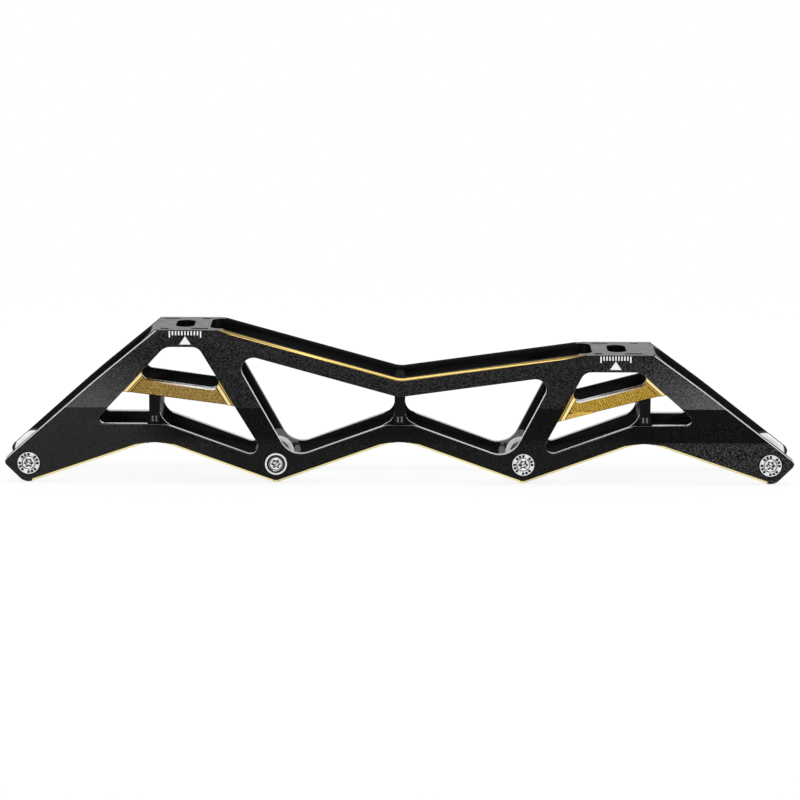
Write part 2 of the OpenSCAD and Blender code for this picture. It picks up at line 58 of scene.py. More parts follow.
# Sizes taken from the frame
PLATE_LOW, PLATE_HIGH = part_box("right_side_plate")
OUTER_Y = max(abs(PLATE_LOW.y), abs(PLATE_HIGH.y))
SEAT_Y = min(abs(PLATE_LOW.y), abs(PLATE_HIGH.y))
SEAT_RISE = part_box("rear_mount_platform")[1].y - SEAT_Y
REAR_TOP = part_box("rear_mount_platform")[1].z
FRONT_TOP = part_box("front_mount_platform")[1].z
AXLES = ("axle_1", "axle_2", "axle_3", "axle_4")
AXLE_CENTRES = {name: (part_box(name)[0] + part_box(name)[1]) / 2 for name in AXLES}
AXLE_Z = AXLE_CENTRES["axle_1"].z
PITCH = AXLE_CENTRES["axle_2"].x - AXLE_CENTRES["axle_1"].x
HEAD_FACE_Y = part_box("axle_1")[0].y

# Height of the crease that splits the outer walls
CREASE_Z = AXLE_Z + 26 * MM


def rgb(red, green, blue):
    """Linear colour from the 0 to 255 values of a display."""
    def channel(value):
        value /= 255
        return value / 12.92 if value <= 0.04045 else ((value + 0.055) / 1.055) ** 2.4
    return (channel(red), channel(green), channel(blue), 1.0)


def grey(value):
    return rgb(value, value, value)


class Shader:
    """A principled material with short calls for adding and joining nodes."""

    def __init__(self, name, **sockets):
        self.material = bpy.data.materials.new(name)
        self.material.use_nodes = True
        self.tree = self.material.node_tree
        self.principled = self.tree.nodes["Principled BSDF"]
        for socket, value in sockets.items():
            self.principled.inputs[socket.replace("_", " ")].default_value = value
        self.place = self.add("ShaderNodeTexCoord").outputs["Object"]

    def fill(self, socket, value):
        """Links a socket to another one, or sets its number."""
        if isinstance(value, bpy.types.NodeSocket):
            self.tree.links.new(value, socket)
        else:
            socket.default_value = value

    def add(self, kind, inputs=None, **settings):
        node = self.tree.nodes.new(kind)
        for key, value in settings.items():
            setattr(node, key, value)
        for key, value in (inputs or {}).items():
            self.fill(node.inputs[key], value)
        return node

    def set(self, socket, source):
        self.tree.links.new(source, self.principled.inputs[socket])

    def noise(self, scale, detail=2.0, place=None, rough=0.5):
        return self.add("ShaderNodeTexNoise", {
            "Vector": place or self.place, "Scale": scale, "Detail": detail, "Roughness": rough,
        }).outputs["Fac"]

    def stretched(self, scale, turn=(0, 0, 0)):
        return self.add("ShaderNodeMapping", {
            "Vector": self.place, "Scale": scale, "Rotation": turn,
        }).outputs["Vector"]

    def ranged(self, value, low, high, to_low=0.0, to_high=1.0):
        return self.add("ShaderNodeMapRange", {
            "Value": value, "From Min": low, "From Max": high, "To Min": to_low, "To Max": to_high,
        }).outputs["Result"]

    def mixed(self, factor, a, b):
        """Colour between two others. The numbers are the mix node's sockets for colours."""
        return self.add("ShaderNodeMix", {0: factor, 6: a, 7: b}, data_type="RGBA").outputs[2]

    def ramp(self, value, stops):
        node = self.add("ShaderNodeValToRGB", {"Fac": value})
        ramp = node.color_ramp
        while len(ramp.elements) < len(stops):
            ramp.elements.new(0.5)
        for element, (at, colour) in zip(ramp.elements, stops):
            element.position = at
            element.color = colour
        return node.outputs["Color"]

    def math(self, operation, a, b=0.0):
        return self.add("ShaderNodeMath", {0: a, 1: b}, operation=operation).outputs["Value"]

    def between(self, factor, a, b):
        """Number between two others: a at factor 0, b at factor 1."""
        return self.math("ADD", a, self.math("MULTIPLY", self.math("SUBTRACT", b, a), factor))

    def axes(self):
        node = self.add("ShaderNodeSeparateXYZ", {"Vector": self.place})
        return node.outputs["X"], node.outputs["Y"], node.outputs["Z"]

    def reach(self):
        """Distance from the nearest axle's centre line."""
        x, _, z = self.axes()
        in_pitch = self.math("MODULO", self.math("ADD", x, 2 * PITCH), PITCH)
        along = self.math("SUBTRACT", in_pitch, PITCH / 2)
        up = self.math("SUBTRACT", z, AXLE_Z)
        squares = self.math("ADD", self.math("POWER", along, 2.0), self.math("POWER", up, 2.0))
        return self.math("SQRT", squares)

    def roughness(self, pattern, start, end):
        """Roughness from start to end over the middle part of a noise pattern."""
        self.set("Roughness", self.ranged(pattern, 0.3, 0.7, start, end))

    def bump(self, height, strength, distance):
        normal = self.add("ShaderNodeBump", {
            "Height": height, "Strength": strength, "Distance": distance,
        }).outputs["Normal"]
        self.set("Normal", normal)


# Where the painted reflection on the outer walls changes tone: stretches along the frame, and heights over
# the axle line
COARSER_GRAIN = (60 * MM, 110 * MM)
CREASE_BLUR = 0.15 * MM
PAINTED_GLOW_HEIGHT = 24 * MM
PAINTED_GLOW_STRETCH = (84 * MM, 135 * MM)
MIDDLE = (-1 * MM, 1 * MM)
PAINTED_BAND_TURN = (100 * MM, 118 * MM)
PAINTED_BAND_START = (8.5 * MM, 10.2 * MM)
PAINTED_BAND_FULL = (13.5 * MM, 10.6 * MM)
PAINTED_BAND_REAR = (-122 * MM, -100 * MM)
LIT_REAR_END = (-115 * MM, -75 * MM)
LIT_FRONT_END = (108 * MM, 126 * MM)


def wall_black():
    """Outer walls: black with a sparkling grain, and painted reflection split by the crease: above it a
    painted glow towards the ends, below it a painted dark band and lighter ends.
    """
    s = Shader("wall_black", Specular_IOR_Level=0.06)
    x, _, z = s.axes()
    above = s.ranged(z, CREASE_Z - CREASE_BLUR, CREASE_Z + CREASE_BLUR)
    below = s.ranged(above, 0.0, 1.0, 1.0, 0.0)

    # Above the crease: painted reflection, a glow towards the ends
    near_crease = s.ranged(z, CREASE_Z, CREASE_Z + PAINTED_GLOW_HEIGHT, 1.0, 0.0)
    glow = s.math("MULTIPLY", near_crease, s.ranged(s.math("ABSOLUTE", x), *PAINTED_GLOW_STRETCH))
    upper = s.mixed(glow, grey(34), s.mixed(s.ranged(x, *MIDDLE), grey(80), grey(91)))

    # Below it: painted reflection, a dark band and lighter ends
    band_start = s.ranged(x, *PAINTED_BAND_TURN, *PAINTED_BAND_START)
    band_full = s.ranged(x, *PAINTED_BAND_TURN, *PAINTED_BAND_FULL)
    over_start = s.math("SUBTRACT", s.math("SUBTRACT", z, AXLE_Z), band_start)
    rise = s.math("DIVIDE", over_start, s.math("SUBTRACT", band_full, band_start))
    painted_band = s.math("MULTIPLY", s.ranged(rise, 0.0, 1.0), s.ranged(x, *PAINTED_BAND_REAR))
    ends = s.math("MAXIMUM", s.ranged(x, *LIT_REAR_END, 1.0, 0.0), s.ranged(x, *LIT_FRONT_END))
    lower = s.mixed(painted_band, s.mixed(ends, grey(24), grey(40)), grey(6))

    # Grain: coarser and stronger towards the front
    to_front = s.ranged(x, *COARSER_GRAIN)
    fine = s.noise(2100, detail=1.5, rough=0.7)
    coarse = s.noise(1600, detail=1.5, rough=0.7)
    grain = s.between(to_front, fine, coarse)
    rear_strength = s.ranged(above, 0.0, 1.0, 0.07, 0.19)
    off_band = s.ranged(painted_band, 0.0, 1.0, 1.0, 0.18)
    low_strength = s.math("MULTIPLY", s.ranged(ends, 0.0, 1.0, 0.08, 0.34), off_band)
    front_below = s.math("MULTIPLY", low_strength, below)
    front_strength = s.math("MAXIMUM", front_below, s.math("MULTIPLY", above, 0.3))
    strength = s.between(to_front, rear_strength, front_strength)
    speck = s.math("MULTIPLY", s.math("SUBTRACT", grain, 0.5), strength)

    lit = s.add("ShaderNodeVectorMath", {0: s.mixed(above, lower, upper), 1: speck}, operation="ADD")
    s.set("Base Color", s.add("ShaderNodeVectorMath", {
        0: lit.outputs["Vector"], 1: (0.001, 0.001, 0.001),
    }, operation="MAXIMUM").outputs["Vector"])
    s.roughness(grain, 0.6, 0.45)
    s.bump(grain, 0.1, 0.05 * MM)
    return s.material


def surface(name, scale, tones, roughness, bump=None, detail=2.0, stretch=None, **sockets):
    """Material of one noise pattern: colour and roughness between two values, and bump where given."""
    s = Shader(name, **sockets)
    place = s.stretched(stretch) if stretch else s.place
    pattern = s.noise(scale, detail=detail, place=place)
    s.set("Base Color", s.mixed(pattern, *tones))
    s.roughness(pattern, *roughness)
    if bump:
        s.bump(pattern, *bump)
    return s.material


def edge_black():
    """Milled edges and window sides: smooth black that mirrors the light at a low angle."""
    s = Shader("edge_black", Specular_IOR_Level=0.9, Coat_Weight=1.0, Coat_Roughness=0.12, Coat_IOR=1.55)
    marks = s.noise(900)
    s.set("Base Color", s.mixed(marks, grey(8), grey(16)))
    s.roughness(marks, 0.14, 0.24)
    s.bump(s.noise(1500, detail=1.0), 0.05, 0.02 * MM)
    return s.material


# Distance from the axle at which the seat's painted highlight ends
SEAT_RIM = (9.0 * MM, 9.4 * MM)


def seat_painted_highlight():
    """Wheel seats round the axles: where the black is cut through, bare metal painted near white as a
    painted highlight; black at the flare's rim.
    """
    s = Shader("seat_painted_highlight", Specular_IOR_Level=0.4)
    cut = s.noise(300)
    rim = s.ranged(s.reach(), *SEAT_RIM)
    s.set("Base Color", s.mixed(rim, s.mixed(cut, grey(244), grey(255)), grey(8)))
    s.roughness(cut, 0.5, 0.38)
    s.bump(s.noise(1400, detail=1.0), 0.06, 0.02 * MM)
    return s.material


# How drawn gold is stretched along the frame
DRAWN = (0.4, 3.0, 3.0)


def gold_edge(name, colour, shade):
    """Diamond cut edge in gold, with drawn lines down to a shade of it."""
    dark = tuple(shade * c for c in colour[:3]) + (1.0,)
    return surface(name, 500, (dark, colour), (0.3, 0.42), (0.05, 0.02 * MM),
                   detail=3.0, stretch=DRAWN, Metallic=1.0)


# Painted highlight strips on the braces' lips, with painted shadow lines beside them, in millimetres: a
# point (x, z) on the lip's inner edge, the way across the lip, and how far the strip's two sides lie from
# that edge
LIP_HIGHLIGHTS = (
    ((-121.52, 41.20), (-0.733, 0.680), (1.1, 2.4)),
    ((-77.62, 35.42), (0.856, 0.517), (0.3, 1.6)),
    ((116.72, 40.10), (0.670, 0.742), (1.2, 2.4)),
    ((76.00, 32.26), (-0.887, 0.461), (0.3, 1.6)),
)
HIGHLIGHT_BLUR = 0.15 * MM
SHADOW_LINE_OFFSET = 0.22 * MM
SHADOW_LINE_HALF = (0.12 * MM, 0.3 * MM)


def gold_lip():
    """Lips at the braces' ends: gold with a painted highlight strip between painted shadow lines."""
    s = Shader("gold_lip", Metallic=1.0)
    nearest = None
    for (x, z), (across_x, across_z), (start, end) in LIP_HIGHLIGHTS:
        across = (across_x, 0, across_z)
        along = s.add("ShaderNodeVectorMath", {0: s.place, 1: across}, operation="DOT_PRODUCT")
        middle = (x * across_x + z * across_z + (start + end) / 2) * MM
        off = s.math("ABSOLUTE", s.math("SUBTRACT", along.outputs["Value"], middle))
        outside = s.math("SUBTRACT", off, (end - start) / 2 * MM)
        nearest = outside if nearest is None else s.math("MINIMUM", nearest, outside)
    # Painted highlight in the strip, painted shadow in the thin lines beside it
    lip_highlight = s.ranged(nearest, -HIGHLIGHT_BLUR, 0.0, 1.0, 0.0)
    off_line = s.math("ABSOLUTE", s.math("SUBTRACT", nearest, SHADOW_LINE_OFFSET))
    line = s.ranged(off_line, *SHADOW_LINE_HALF, 1.0, 0.0)
    drawn = s.noise(500, detail=3.0)
    gold = s.mixed(drawn, rgb(176, 138, 56), rgb(226, 190, 100))
    highlight_gold = s.mixed(drawn, rgb(246, 224, 140), rgb(255, 246, 196))
    s.set("Base Color", s.mixed(line, s.mixed(lip_highlight, gold, highlight_gold), rgb(112, 80, 28)))
    s.roughness(drawn, 0.3, 0.42)
    return s.material


# Foot of the front lip, along the frame, and the Y at which the braces' edges turn to painted highlight or
# painted shade
FOOT_START = (77 * MM, 78 * MM)
FOOT_END = (90 * MM, 91 * MM)
FOOT_Y = (16.2 * MM, 16.3 * MM)
BROWN_Y = (14.6 * MM, 15.6 * MM)


def brace_step():
    """Steps and broken edges of the braces: painted shade in brown outside, a painted highlight at the
    front lip's foot, a painted grey highlight inside.
    """
    s = Shader("gold_step", Metallic=1.0)
    x, y, _ = s.axes()
    out = s.math("ABSOLUTE", y)
    outside = s.ranged(out, *BROWN_Y)
    along = s.math("MULTIPLY", s.ranged(x, *FOOT_START), s.ranged(x, *FOOT_END, 1.0, 0.0))
    foot = s.math("MULTIPLY", along, s.ranged(out, *FOOT_Y))
    drawn = s.noise(500, detail=3.0, place=s.stretched(DRAWN))
    # Painted shade in brown, painted highlight in bright gold
    shaded_brown = s.mixed(drawn, rgb(80, 56, 22), rgb(96, 68, 26))
    bright = s.mixed(drawn, rgb(216, 176, 70), rgb(250, 224, 130))
    s.set("Base Color", s.mixed(outside, grey(70), s.mixed(foot, shaded_brown, bright)))
    s.roughness(drawn, 0.3, 0.42)
    s.bump(drawn, 0.05, 0.02 * MM)
    return s.material


# Distance from the frame's middle over which the braces' upper edges turn from a near white painted
# highlight to gold
HIGHLIGHT_REACH = (90 * MM, 112 * MM)


def brace_top():
    """Upper edge of the braces: a near white painted highlight towards the frame's middle, gold towards
    its ends.
    """
    s = Shader("brace_top", Metallic=1.0)
    x, _, _ = s.axes()
    top_highlight = s.ranged(s.math("ABSOLUTE", x), *HIGHLIGHT_REACH, 1.0, 0.0)
    cut = s.noise(500)
    s.set("Base Color", s.mixed(top_highlight, rgb(150, 116, 50), s.mixed(cut, grey(225), grey(250))))
    s.roughness(cut, 0.4, 0.3)
    return s.material


def gold_field_rear():
    """Rear braces: granular golden brown."""
    s = Shader("gold_field_rear", Metallic=1.0)
    grain = s.noise(1900, rough=0.6)
    cloud = s.ranged(s.noise(140), 0.4, 0.75, 0.0, 0.3)
    colour = s.ramp(grain, [
        (0.36, rgb(104, 76, 32)), (0.5, rgb(150, 120, 62)), (0.64, rgb(198, 170, 104)),
    ])
    s.set("Base Color", s.mixed(cloud, colour, rgb(122, 96, 48)))
    s.roughness(grain, 0.5, 0.36)
    s.bump(grain, 0.2, 0.05 * MM)
    return s.material


MARKS_SLANT = math.radians(28)


def gold_field_front():
    """Front braces: gold with slanted milling marks."""
    s = Shader("gold_field_front", Metallic=1.0)
    slant = s.stretched((1.0, 1.0, 1.0), (0.0, MARKS_SLANT, 0.0))
    marks = s.add("ShaderNodeTexWave", {
        "Vector": slant, "Scale": 300.0, "Distortion": 5.0, "Detail": 3.0, "Detail Scale": 1.6,
    }, bands_direction="X").outputs["Fac"]
    grain = s.noise(1500)
    mixed = s.math("ADD", s.math("MULTIPLY", marks, 0.28), s.math("MULTIPLY", grain, 0.72))
    s.set("Base Color", s.ramp(mixed, [
        (0.2, rgb(112, 84, 22)), (0.5, rgb(172, 138, 52)), (0.8, rgb(224, 192, 98)),
    ]))
    s.set("Roughness", s.ranged(mixed, 0.2, 0.8, 0.5, 0.36))
    s.bump(mixed, 0.2, 0.05 * MM)
    return s.material


def satin_grey():
    """Milled tops of the platforms and of the rails beside them."""
    s = Shader("satin_grey", Metallic=0.2, Specular_IOR_Level=0.3)
    grain = s.noise(700, place=s.stretched((0.35, 1.6, 1.0)))
    s.set("Base Color", s.mixed(s.ranged(grain, 0.3, 0.7), grey(82), grey(116)))
    s.roughness(grain, 0.6, 0.48)
    s.bump(grain, 0.1, 0.03 * MM)
    return s.material


TURNING_STEP = 0.28 * MM


def turned_steel(name, dark, light):
    """Turned steel: fine rings round each axle's centre line."""
    s = Shader(name, Metallic=1.0)
    rings = s.math("SINE", s.math("MULTIPLY", s.reach(), 2 * math.pi / TURNING_STEP))
    grain = s.noise(1400)
    mixed = s.math("ADD", s.ranged(rings, -1.0, 1.0, 0.0, 0.45), s.math("MULTIPLY", grain, 0.55))
    s.set("Base Color", s.mixed(mixed, dark, light))
    s.set("Roughness", s.ranged(mixed, 0.2, 0.8, 0.34, 0.22))
    s.bump(rings, 0.08, 0.02 * MM)
    return s.material


FINE_BUMP = (0.08, 0.03 * MM)

WALL = wall_black()
EDGE = edge_black()
# Inner faces of the plates: smooth black with faint milling
INNER = surface("inner_black", 120, (grey(4), grey(12)), (0.22, 0.38), (0.06, 0.03 * MM),
                detail=3.0, stretch=(1.0, 6.0, 9.0), Specular_IOR_Level=0.1)
# Cross posts: dull black
POST = surface("post_black", 1100, (grey(5), grey(15)), (0.55, 0.42), FINE_BUMP,
               Specular_IOR_Level=0.08)
SEAT = seat_painted_highlight()
# Outer faces of the end slopes: dull black
SLOPE = surface("slope_black", 1400, (grey(12), grey(30)), (0.75, 0.6), FINE_BUMP,
                Specular_IOR_Level=0.03)
# Painted highlight: near white metal on the chamfers along the outer edges of the end slopes
RIM = surface("rim_highlight", 500, (grey(190), grey(240)), (0.4, 0.3), Metallic=1.0)
# Tops of the upper rails and of the posts, and the tips: matt black
RAIL = surface("rail_top", 1500, (grey(8), grey(20)), (0.8, 0.65), FINE_BUMP,
               stretch=(0.5, 2.0, 1.0), Specular_IOR_Level=0.02)
GOLD_TOP = gold_edge("gold_top_edge", rgb(186, 161, 96), 0.72)
# Lower gold edge: a paler copy of the same gold, a painted highlight
GOLD_LOW = gold_edge("gold_low_edge", rgb(255, 240, 170), 0.92)
GOLD_LIP = gold_lip()
GOLD_STEP = brace_step()
BRACE_TOP = brace_top()
GOLD_REAR = gold_field_rear()
GOLD_FRONT = gold_field_front()
GREY = satin_grey()
STEEL = turned_steel("turned_steel", grey(205), grey(252))
STEEL_DARK = turned_steel("dark_steel", grey(60), grey(120))
# Printed marks, slightly uneven
PRINT = surface("white_print", 2000, (grey(240), grey(255)), (0.6, 0.45), Specular_IOR_Level=0.3)
# Dark engraved marks on the axle heads
MARK = surface("dark_mark", 2500, (grey(8), grey(26)), (0.6, 0.45), Specular_IOR_Level=0.3)


def dress(node, materials, pick, smooth=True):
    """Gives a CAD node its materials, each face by its centre and normal."""
    mesh = NODES[node].data
    mesh.materials.clear()
    for material in materials:
        mesh.materials.append(material)
    for face in mesh.polygons:
        face.material_index = materials.index(pick(face.center, face.normal))
        face.use_smooth = smooth
    return NODES[node]


WELD_GAP = 0.002 * MM
FLAT_ANGLE = math.radians(0.3)
SQUARE_ANGLE = math.radians(84)
SAME_SPOT = 0.01 * MM


def merge_flat(piece):
    """Merges the flat faces of a CAD mesh."""
    weld = piece.modifiers.new("weld", "WELD")
    weld.merge_threshold = WELD_GAP
    flat = piece.modifiers.new("flat", "DECIMATE")
    flat.decimate_type = "DISSOLVE"
    flat.angle_limit = FLAT_ANGLE
    flat.delimit = {"MATERIAL"}
    return piece


def add_rim(piece, material, rim_material, width, outside):
    """Chamfers the edges of the faces that have a material, where they lie further out than a given Y."""
    mesh = piece.data
    slot = mesh.materials.find(material.name)

    def spot(vertex):
        return tuple(round(value / SAME_SPOT) for value in vertex.co)

    outer = set()
    for face in mesh.polygons:
        if face.material_index == slot:
            corners = [mesh.vertices[i] for i in face.vertices]
            outer.update(spot(vertex) for vertex in corners if abs(vertex.co.y) > outside)
    # Every vertex at such a spot joins the group, because the weld averages their weights
    group = piece.vertex_groups.new(name="rim")
    group.add([vertex.index for vertex in mesh.vertices if spot(vertex) in outer], 1.0, "REPLACE")
    bevel = piece.modifiers.new("rim", "BEVEL")
    bevel.width = width
    bevel.segments = 1
    bevel.limit_method = "VGROUP"
    bevel.vertex_group = "rim"
    bevel.use_clamp_overlap = False
    bevel.material = mesh.materials.find(rim_material.name)
    return piece


def soften(piece, width, slot=-1):
    """Rounds a piece's square edges, in the material of a slot or, at -1, of the faces beside them."""
    bevel = piece.modifiers.new("bevel", "BEVEL")
    bevel.width = width
    bevel.segments = 2
    bevel.limit_method = "ANGLE"
    bevel.angle_limit = SQUARE_ANGLE
    bevel.use_clamp_overlap = False
    bevel.harden_normals = True
    bevel.material = slot
    return piece


# Side plates. A face's part is told from where it lies and which way it looks.
TOUCH = 0.1 * MM
OUTER_FACES_Y = 15.5 * MM
UPPER_RAIL_Z = CREASE_Z + 5 * MM
UNDER_TOP = 1 * MM
SLOPE_X = 108 * MM
RIM_WIDTH = 0.4 * MM
RIM_Y = 16.5 * MM
PLATE_EDGE = 0.25 * MM


def on_seat(centre, normal):
    """Whether a face is on the flat wheel seat round an axle, or on its flare at the frame's ends."""
    rise = abs(centre.y) - SEAT_Y
    if normal.y * centre.y > 0:
        return False
    if abs(centre.x) > PITCH and TOUCH < rise < SEAT_RISE - TOUCH:
        return abs(normal.y) > 0.3
    return rise < TOUCH and abs(normal.y) > 0.9


def plate_face(centre, normal):
    if on_seat(centre, normal):
        return SEAT
    outside = abs(centre.y) > OUTER_FACES_Y and normal.y * centre.y > 0
    if outside and abs(normal.y) > 0.99:
        return WALL
    if outside and 0.5 < abs(normal.y) < 0.9:
        if normal.z > 0.3:
            return GOLD_TOP
        if normal.z < -0.3:
            return GOLD_LOW
    level = abs(centre.z - REAR_TOP) < TOUCH or abs(centre.z - FRONT_TOP) < TOUCH
    if level and normal.z > 0.99:
        return GREY
    if abs(normal.y) > 0.99:
        return INNER
    if normal.z > 0.9 and centre.z > UPPER_RAIL_Z:
        return INNER if REAR_TOP - centre.z < UNDER_TOP else RAIL
    outward = normal.x * centre.x > 0 and abs(normal.x) > 0.4
    if abs(centre.x) > SLOPE_X and centre.z > AXLE_Z and normal.z > 0.3 and outward:
        return SLOPE
    if abs(centre.x) > 1.5 * PITCH and outward:
        return RAIL
    return EDGE


PLATE_MATERIALS = [WALL, EDGE, INNER, SEAT, SLOPE, RIM, RAIL, GOLD_TOP, GOLD_LOW, GREY]
for name in ("right_side_plate", "left_side_plate"):
    plate = merge_flat(dress(name, PLATE_MATERIALS, plate_face))
    # The end slopes' outer edges get a chamfer in the painted highlight material
    add_rim(plate, SLOPE, RIM, RIM_WIDTH, RIM_Y)
    soften(plate, PLATE_EDGE)


# Platforms and cross posts
POST_EDGE = 0.2 * MM


def platform_face(top):
    def pick(centre, normal):
        level = top - centre.z < TOUCH
        sloped_end = 0.3 < normal.z < 0.9
        return GREY if level or sloped_end else INNER
    return pick


def post_face(_, normal):
    return RAIL if normal.z > 0.3 else POST


for name, top in (("rear_mount_platform", REAR_TOP), ("front_mount_platform", FRONT_TOP)):
    merge_flat(dress(name, [GREY, INNER], platform_face(top), smooth=False))

for name in ("rear_cross_post", "center_cross_post", "front_cross_post"):
    soften(merge_flat(dress(name, [POST, RAIL], post_face)), POST_EDGE)


# Braces
LIP_Y = 17 * MM
STEP_Y = 16.3 * MM
TOP_REACH = PITCH + 4 * MM
BRACE_EDGE = 0.22 * MM
BRACE_CHAMFER = 1.0 * MM
BRACE_OUTSIDE = 16 * MM


def brace_face(field):
    def pick(centre, normal):
        out = normal.y * centre.y > 0
        if out and abs(normal.y) > 0.9:
            return GOLD_LIP if abs(centre.y) > LIP_Y else field
        if abs(normal.y) > 0.9:
            return INNER
        if abs(centre.y) > STEP_Y:
            return GOLD_STEP if abs(normal.z) < 0.98 else GOLD_LIP
        if normal.z > 0.85 and abs(centre.x) < TOP_REACH:
            return BRACE_TOP
        return EDGE
    return pick


for end, field in (("rear", GOLD_REAR), ("front", GOLD_FRONT)):
    for side in ("right", "left"):
        materials = [field, GOLD_LIP, GOLD_STEP, BRACE_TOP, INNER, EDGE]
        brace = merge_flat(dress(f"{end}_{side}_brace", materials, brace_face(field)))
        # A wide chamfer on the braces' upper edges, in the painted highlight material
        add_rim(brace, BRACE_TOP, BRACE_TOP, BRACE_CHAMFER, BRACE_OUTSIDE)
        soften(brace, BRACE_EDGE, materials.index(GOLD_STEP))


# Axles, inserts and dowels
GROOVE_IN, GROOVE_OUT = 2.75 * MM, 3.15 * MM
FACE_DEPTH, GROOVE_DEPTH = 0.05 * MM, 0.35 * MM
DRIVE_DEPTH = 3 * MM


def axle_face(axle):
    """Bright head face and drive floor, dark ring groove, darker shank."""
    def pick(centre, normal):
        reach = math.hypot(centre.x - axle.x, centre.z - axle.z)
        depth = centre.y - HEAD_FACE_Y
        if FACE_DEPTH < depth < GROOVE_DEPTH and GROOVE_IN < reach < GROOVE_OUT:
            return MARK
        drive_floor = depth < DRIVE_DEPTH and reach < GROOVE_IN and abs(normal.y) > 0.7
        return STEEL if depth < GROOVE_DEPTH or drive_floor else STEEL_DARK
    return pick


for name in AXLES:
    merge_flat(dress(name, [STEEL, STEEL_DARK, MARK], axle_face(AXLE_CENTRES[name])))

for name in ("axle_inserts", "rear_mount_dowels", "front_mount_dowels",
             "rear_post_dowels", "center_post_dowels", "front_post_dowels"):
    merge_flat(dress(name, [STEEL_DARK], lambda centre, normal: STEEL_DARK))


def piece_from(name, build, material, body):
    """A new mesh piece from a function that fills a bmesh, riding on a body."""
    mesh = bpy.data.meshes.new(name)
    form = bmesh.new()
    build(form)
    bmesh.ops.recalc_face_normals(form, faces=form.faces)
    form.to_mesh(mesh)
    form.free()
    mesh.materials.append(material)
    piece = bpy.data.objects.new(name, mesh)
    bpy.context.scene.collection.objects.link(piece)
    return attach(piece, body)


def prism(form, corners, depth):
    """Closed prism: a ring of points and the same ring moved by depth."""
    near = [form.verts.new(p) for p in corners]
    far = [form.verts.new(Vector(p) + depth) for p in corners]
    form.faces.new(near)
    form.faces.new(far[::-1])
    for i in range(len(near)):
        j = (i + 1) % len(near)
        form.faces.new((near[j], near[i], far[i], far[j]))


# Printed scales beside the mount slots
TICKS = 11
TICK_WIDTH = 0.62 * MM
TICK_DROP = 0.5 * MM
TICK_LONG = 1.9 * MM
TICK_END = 2.9 * MM
POINTER_WIDTH, POINTER_HEIGHT = 5.2 * MM, 3.8 * MM
POINTER_DROP = 2.8 * MM
FILM = 0.03 * MM
# End of the frame, the scale's middle, the height it hangs from and its pitch
SCALES = (("rear", -96.4 * MM, REAR_TOP, 1.4 * MM), ("front", 96.85 * MM, FRONT_TOP, 1.335 * MM))


def scale_marks(side, centre_x, top_z, pitch):
    """A row of ticks, the two end ones longer, and a plain pointer under them."""
    wall = side * OUTER_Y
    depth = Vector((0, side * FILM, 0))

    def build(form):
        high = top_z - TICK_DROP
        for i in range(TICKS):
            x = centre_x + (i - (TICKS - 1) / 2) * pitch
            low = high - (TICK_END if i in (0, TICKS - 1) else TICK_LONG)
            left, right = x - TICK_WIDTH / 2, x + TICK_WIDTH / 2
            corners = [(left, wall, high), (right, wall, high), (right, wall, low), (left, wall, low)]
            prism(form, corners, depth)
        tip = top_z - POINTER_DROP
        foot = tip - POINTER_HEIGHT
        left, right = centre_x - POINTER_WIDTH / 2, centre_x + POINTER_WIDTH / 2
        prism(form, [(centre_x, wall, tip), (right, wall, foot), (left, wall, foot)], depth)
    return build


for end, x, top, pitch in SCALES:
    for side_name, side in (("right", -1), ("left", 1)):
        marks = scale_marks(side, x, top, pitch)
        piece_from(f"{end}_{side_name}_scale", marks, PRINT, "frame")


# Dark rings and radial marks on the axle heads; the outer ring is a painted shadow of the gap round each
# head
RING_STEPS = 72
GAP_SHADOW = (5.0 * MM, 5.24 * MM)
BAND = (3.2 * MM, 4.2 * MM)
MARKS = 16
MARKS_PER_GROUP = 4
MARK_IN, MARK_OUT = 3.35 * MM, 4.6 * MM
MARK_WIDTH = 1.1 * MM


def ring(form, centre, radii):
    """Flat closed ring on an axle head."""
    inner, outer = radii
    rings = []
    for radius, y in ((inner, 0), (outer, 0), (outer, -FILM), (inner, -FILM)):
        turns = [2 * math.pi * i / RING_STEPS for i in range(RING_STEPS)]
        rings.append([form.verts.new((centre.x + radius * math.cos(turn),
                                      HEAD_FACE_Y + y,
                                      centre.z + radius * math.sin(turn))) for turn in turns])
    for k, near in enumerate(rings):
        far = rings[(k + 1) % len(rings)]
        for i in range(RING_STEPS):
            j = (i + 1) % RING_STEPS
            form.faces.new((near[i], near[j], far[j], far[i]))


def head_marks(centre):
    """A painted shadow ring at the rim and groups of radial marks, with the last mark of each group left
    out.
    """
    def build(form):
        ring(form, centre, GAP_SHADOW)
        foot = Vector((centre.x, HEAD_FACE_Y, centre.z))
        for i in range(MARKS):
            if i % MARKS_PER_GROUP == MARKS_PER_GROUP - 1:
                continue
            turn = 2 * math.pi * i / MARKS
            out = Vector((math.cos(turn), 0, math.sin(turn)))
            side = Vector((-out.z, 0, out.x)) * MARK_WIDTH / 2
            corners = [foot + out * MARK_IN - side, foot + out * MARK_OUT - side,
                       foot + out * MARK_OUT + side, foot + out * MARK_IN + side]
            prism(form, corners, Vector((0, -FILM, 0)))
    return build


def head_rings(centre):
    """A painted shadow ring at the rim and a broad ring inside it."""
    def build(form):
        ring(form, centre, GAP_SHADOW)
        ring(form, centre, BAND)
    return build


for name in ("axle_1", "axle_3", "axle_4"):
    piece_from(f"{name}_marks", head_marks(AXLE_CENTRES[name]), MARK, name)
piece_from("axle_2_rings", head_rings(AXLE_CENTRES["axle_2"]), MARK, "axle_2")


# Fillets of the posts on the lower rails, in millimetres: distance from the post's middle
# and height over the rail
FILLET = ((2.2, 5.2), (2.6, 4.2), (3.1, 3.0), (3.8, 1.9), (4.85, 0.95), (6.3, 0.4), (8.0, 0.0))
FILLET_ROOT = 0.5
FILLET_Y = (13.8 * MM, 14.8 * MM)
